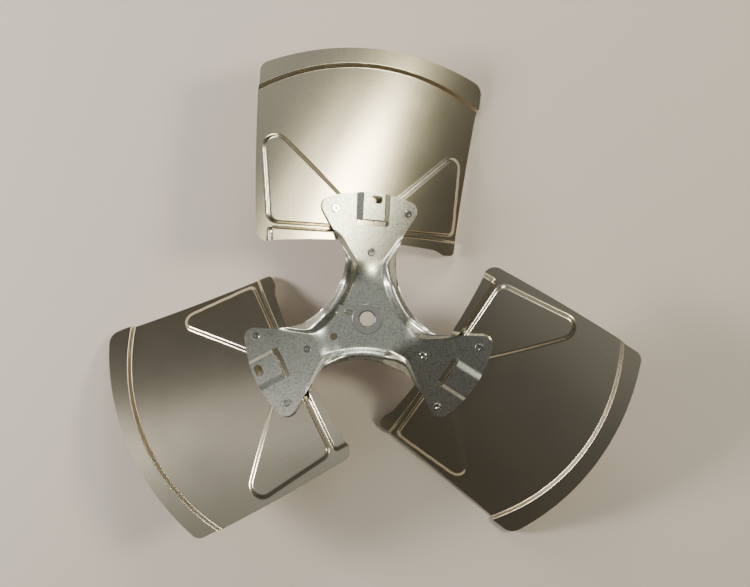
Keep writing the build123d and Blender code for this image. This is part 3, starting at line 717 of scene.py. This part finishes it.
spider = mesh_object("spider_sheet", *spider_mesh())
cut_holes(spider)
spider.data.materials.append(galvanised())
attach(spider, "root")
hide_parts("spider")

finishes = {
    "hub": plain_metal("hub_steel", (0.60, 0.60, 0.58), 0.32),
    "set_screw": plain_metal("screw_steel", (0.62, 0.62, 0.59), 0.32),
}
rivet_steel = plain_metal("rivet_steel", (0.70, 0.70, 0.66), 0.18)
for index in range(3):
    finishes[f"rivets_{index + 1}"] = rivet_steel
for name, finish in finishes.items():
    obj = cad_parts[name]
    if obj.material_slots:
        for place in obj.material_slots:
            place.material = finish
    else:
        obj.data.materials.append(finish)

# Floor, lights and camera

floor_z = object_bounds()[0].z
bpy.ops.mesh.primitive_plane_add(size=8.0, location=(0, 0, floor_z))
floor = bpy.context.object
floor.name = "floor"
floor.data.materials.append(paper())

right = Vector((math.cos(CAMERA_TURN), math.sin(CAMERA_TURN), 0))
ahead = Vector((-math.sin(CAMERA_TURN), math.cos(CAMERA_TURN), 0))


def soft_light(name, bearing, lean, distance, size, power, colour):
    """A soft light aimed at the hub. Its bearing from the photograph's right and its lean are in degrees."""
    data = bpy.data.lights.new(name, "AREA")
    data.shape = "RECTANGLE"
    data.size, data.size_y = size
    data.energy = power
    data.color = colour
    light = bpy.data.objects.new(name, data)
    bpy.context.scene.collection.objects.link(light)
    bearing, lean = math.radians(bearing), math.radians(lean)
    flat = right * math.cos(bearing) + ahead * math.sin(bearing)
    light.location = (flat * math.sin(lean) + Vector((0, 0, math.cos(lean)))) * distance
    light.rotation_euler = light.location.to_track_quat("Z", "Y").to_euler()


soft_light("east", 13, 44.5, 1.6, (0.32, 0.34), 11.0, (1.0, 0.95, 0.72))
soft_light("east_high", 25, 33, 1.6, (0.35, 0.35), 1.1, (1.0, 0.95, 0.76))
soft_light("north", 90, 60, 1.0, (0.3, 0.3), 3.0, (1.0, 0.98, 0.95))
soft_light("north_west", 140, 41, 1.6, (0.6, 0.6), 0.3, (1.0, 0.97, 0.92))
soft_light("west", 173, 63, 1.4, (0.36, 0.36), 20.0, (1.0, 0.97, 0.92))


def studio_world():
    """A room that is bright overhead and dark towards the walls, most of all to the south."""
    world = bpy.data.worlds.new("studio")
    world.use_nodes = True
    tree = world.node_tree
    sky = tree.nodes.new("ShaderNodeTexCoord")
    dot = tree.nodes.new("ShaderNodeVectorMath")
    dot.operation = "DOT_PRODUCT"
    tree.links.new(sky.outputs["Generated"], dot.inputs[0])
    tilt = math.radians(11)
    dot.inputs[1].default_value = ahead * math.sin(tilt) + Vector((0, 0, math.cos(tilt)))
    walls = ranged(tree, dot.outputs["Value"], -0.2, 1.0, 0.04, 0.13)
    ceiling = ranged(tree, dot.outputs["Value"], 0.66, 0.88, 0.0, 0.17)
    total = tree.nodes.new("ShaderNodeMath")
    total.operation = "ADD"
    tree.links.new(walls, total.inputs[0])
    tree.links.new(ceiling, total.inputs[1])
    upward = ranged(tree, dot.outputs["Value"], 0.2, 0.8, 0, 1)
    shade = mixed(tree, upward, (1.0, 0.92, 0.80, 1), (0.98, 1.0, 0.98, 1))
    tree.links.new(shade, tree.nodes["Background"].inputs[0])
    tree.links.new(total.outputs[0], tree.nodes["Background"].inputs[1])
    return world


bpy.context.scene.world = studio_world()

camera_data = bpy.data.cameras.new("camera")
camera_data.lens = LENS
camera_data.sensor_width = 36.0
camera_data.sensor_fit = "HORIZONTAL"
camera_data.dof.use_dof = False
camera_data.clip_start = 0.05
camera = bpy.data.objects.new("camera", camera_data)
bpy.context.scene.collection.objects.link(camera)
stand = right * CAMERA_RIGHT * MM + ahead * CAMERA_UP * MM
camera.location = stand + Vector((0, 0, floor_z + CAMERA_HEIGHT * MM))
target = stand + ahead * AIM_UP * MM + Vector((0, 0, floor_z))
look = (camera.location - target).normalized()
side = ahead.cross(look).normalized()
top = look.cross(side)
camera.rotation_euler = Matrix((side, top, look)).transposed().to_euler()
bpy.context.scene.camera = camera
